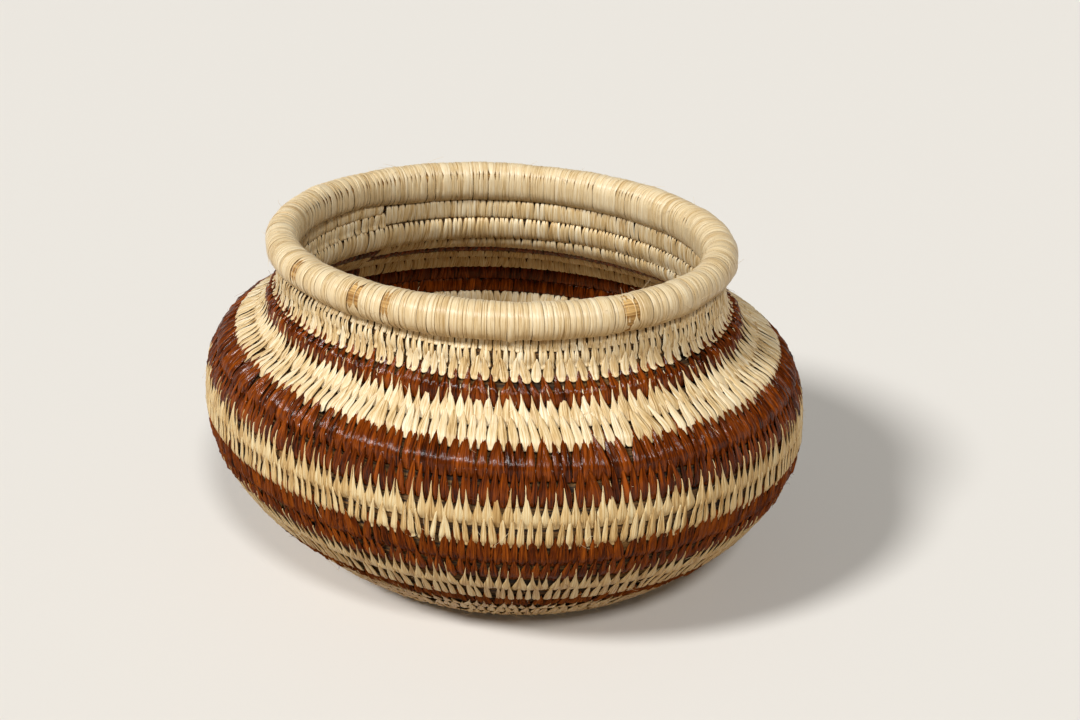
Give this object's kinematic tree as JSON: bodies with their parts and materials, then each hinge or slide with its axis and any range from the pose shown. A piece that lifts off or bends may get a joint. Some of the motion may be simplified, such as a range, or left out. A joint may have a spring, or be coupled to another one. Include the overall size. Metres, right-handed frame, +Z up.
{
  "type": "coiled basket",
  "caption": "Round coiled basket with a wide belly, short neck and thick rolled rim, sewn in natural and dark brown bands.",
  "frame": {"origin": "centre of the base's flat underside, where the basket stands", "axes": "+Z up along the basket's axis; -Y towards the picture's camera; the colour bands change at a seam 125 degrees round from +X"},
  "size_m": [0.2148, 0.2146, 0.1193],
  "materials": {
    "natural_coil": "undyed palm strip over grass, satin",
    "brown_coil": "brown-dyed palm strip over grass, satin",
    "rim": "undyed palm strip, satin"
  },
  "bodies": {
    "root": {"rim_roll": "rim", "neck_coil": "natural_coil", "brown_band_4": "brown_coil", "natural_band_3": "natural_coil", "brown_band_3": "brown_coil", "natural_band_2": "natural_coil", "brown_band_2": "brown_coil", "natural_band_1": "natural_coil", "brown_band_1": "brown_coil", "heel_coil": "natural_coil", "base_coil": "natural_coil", "start_knot": "natural_coil"}
  },
  "joints": []
}
